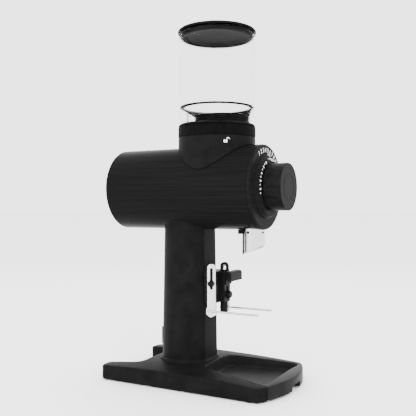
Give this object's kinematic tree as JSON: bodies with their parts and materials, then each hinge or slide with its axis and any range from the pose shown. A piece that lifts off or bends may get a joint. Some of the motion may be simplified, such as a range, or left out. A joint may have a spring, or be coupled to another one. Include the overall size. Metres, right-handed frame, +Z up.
{
  "type": "burr coffee grinder",
  "caption": "Burr coffee grinder: horizontal motor barrel on a column, clear hopper above, adjusting knob in front, spout, portafilter fork and grounds tray.",
  "frame": {"origin": "centre of the footprint, on the surface the feet stand on", "axes": "+Z up, -Y towards the adjusting knob and the spout, +X to the right of someone facing the knob"},
  "size_m": [0.149, 0.2604, 0.4745],
  "materials": {
    "black_paint": "satin black powder coat",
    "black_anodised": "satin black anodised",
    "black_plastic": "matt black",
    "rubber": "matt black",
    "steel": "brushed",
    "dark_steel": "dark hardened",
    "aluminium": "machined",
    "copper": "enamelled copper winding on a laminated core",
    "brass": "turned",
    "board_green": "solder mask",
    "clear_plastic": "clear polished"
  },
  "bodies": {
    "frame": {"base_casting": "black_paint", "foot_front_left": "rubber", "foot_front_right": "rubber", "foot_rear_left": "rubber", "foot_rear_right": "rubber", "column": "black_paint", "column_bolt": "dark_steel", "power_inlet": "black_plastic", "switch_frame": "black_plastic", "control_board": "board_green", "capacitor": "aluminium", "motor_lead": "rubber", "barrel_housing": "black_paint", "rear_cap": "black_plastic", "motor_front_plate": "aluminium", "motor_rear_plate": "aluminium", "motor_stator": "copper", "front_bearing": "steel", "rear_bearing": "steel", "feed_throat": "aluminium", "grind_chamber": "aluminium", "spout_socket": "black_plastic", "grind_spout": "steel", "spout_screw_side": "dark_steel", "spout_screw_front": "dark_steel", "knocker_bracket": "black_plastic", "dial_plate": "black_anodised", "hopper_collar": "black_paint", "fork_block": "black_plastic"},
    "tray": {"grounds_tray": "black_paint"},
    "rocker": {"switch_rocker": "black_plastic"},
    "knob": {"adjusting_knob": "black_anodised", "adjusting_spindle": "brass"},
    "burr_carriage": {"burr_holder": "aluminium", "stationary_burr": "dark_steel", "preload_spring": "steel"},
    "rotor": {"drive_shaft": "steel", "motor_rotor": "dark_steel", "cooling_fan": "black_plastic", "feed_auger": "steel", "burr_carrier": "steel", "rotating_burr": "dark_steel", "burr_nut": "steel"},
    "knocker": {"spout_knocker": "black_paint"},
    "ring": {"lock_ring": "black_paint"},
    "hopper": {"hopper": "clear_plastic", "funnel": "black_plastic", "funnel_window": "clear_plastic"},
    "lid": {"lid": "black_plastic", "lid_seal": "rubber"},
    "arm_left": {"fork_arm_left": "steel"},
    "arm_right": {"fork_arm_right": "steel"},
    "bolt_left": {"fork_bolt_left": "black_paint"},
    "bolt_right": {"fork_bolt_right": "black_paint"},
    "slider": {"hook_slider": "black_plastic", "hook_stem": "rubber", "pull_loop": "black_paint", "hook_pin": "dark_steel"},
    "bar": {"hook_bar": "black_plastic"},
    "thumb": {"thumb_knob": "black_plastic"}
  },
  "joints": [
    {"name": "tray_slide", "type": "slide", "parent": "frame", "child": "tray", "axis": [0, -1, 0], "range_m": [0, 0.09]},
    {"name": "rocker_tilt", "type": "hinge", "parent": "frame", "child": "rocker", "pos_m": [0, 0.0596, 0.091], "axis": [1, 0, 0], "range_deg": [-14, 0]},
    {"name": "knob_turn", "type": "hinge", "parent": "frame", "child": "knob", "pos_m": [0, -0.11, 0.2608], "axis": [0, -1, 0], "range_deg": [-180, 180]},
    {"name": "burr_slide", "type": "slide", "parent": "frame", "child": "burr_carriage", "axis": [0, 1, 0], "range_m": [-0.00061, 0.00061]},
    {"name": "rotor_spin", "type": "hinge", "parent": "frame", "child": "rotor", "pos_m": [0, 0.02, 0.2608], "axis": [0, -1, 0], "continuous": true},
    {"name": "knocker_swing", "type": "hinge", "parent": "frame", "child": "knocker", "pos_m": [0, -0.0553, 0.2016], "axis": [1, 0, 0], "range_deg": [0, 25]},
    {"name": "ring_turn", "type": "hinge", "parent": "frame", "child": "ring", "pos_m": [0, -0.0156, 0.335], "axis": [0, 0, 1], "range_deg": [0, 40]},
    {"name": "hopper_lift", "type": "slide", "parent": "frame", "child": "hopper", "axis": [0, 0, 1], "range_m": [0, 0.05]},
    {"name": "lid_lift", "type": "slide", "parent": "hopper", "child": "lid", "axis": [0, 0, 1], "range_m": [0, 0.04]},
    {"name": "arm_left_slide", "type": "slide", "parent": "frame", "child": "arm_left", "axis": [0, 0, 1], "range_m": [-0.018, 0.005]},
    {"name": "arm_right_slide", "type": "slide", "parent": "frame", "child": "arm_right", "axis": [0, 0, 1], "range_m": [-0.018, 0.005]},
    {"name": "bolt_left_turn", "type": "hinge", "parent": "frame", "child": "bolt_left", "pos_m": [-0.0236, -0.0182, 0.1328], "axis": [-1, 0, 0], "range_deg": [-180, 180]},
    {"name": "bolt_right_turn", "type": "hinge", "parent": "frame", "child": "bolt_right", "pos_m": [0.0236, -0.0182, 0.1328], "axis": [1, 0, 0], "range_deg": [-180, 180]},
    {"name": "slider_slide", "type": "slide", "parent": "frame", "child": "slider", "axis": [0, 0, 1], "range_m": [-0.008, 0.003]},
    {"name": "bar_lift", "type": "hinge", "parent": "slider", "child": "bar", "pos_m": [0, -0.0373, 0.144], "axis": [-1, 0, 0], "range_deg": [0, 60]},
    {"name": "thumb_turn", "type": "hinge", "parent": "frame", "child": "thumb", "pos_m": [0, -0.034, 0.1172], "axis": [0, -1, 0], "range_deg": [-180, 180]}
  ],
  "couplings": [
    {"joint": "burr_slide", "follows": "knob_turn", "m_per_rad": 0.00019099}
  ]
}
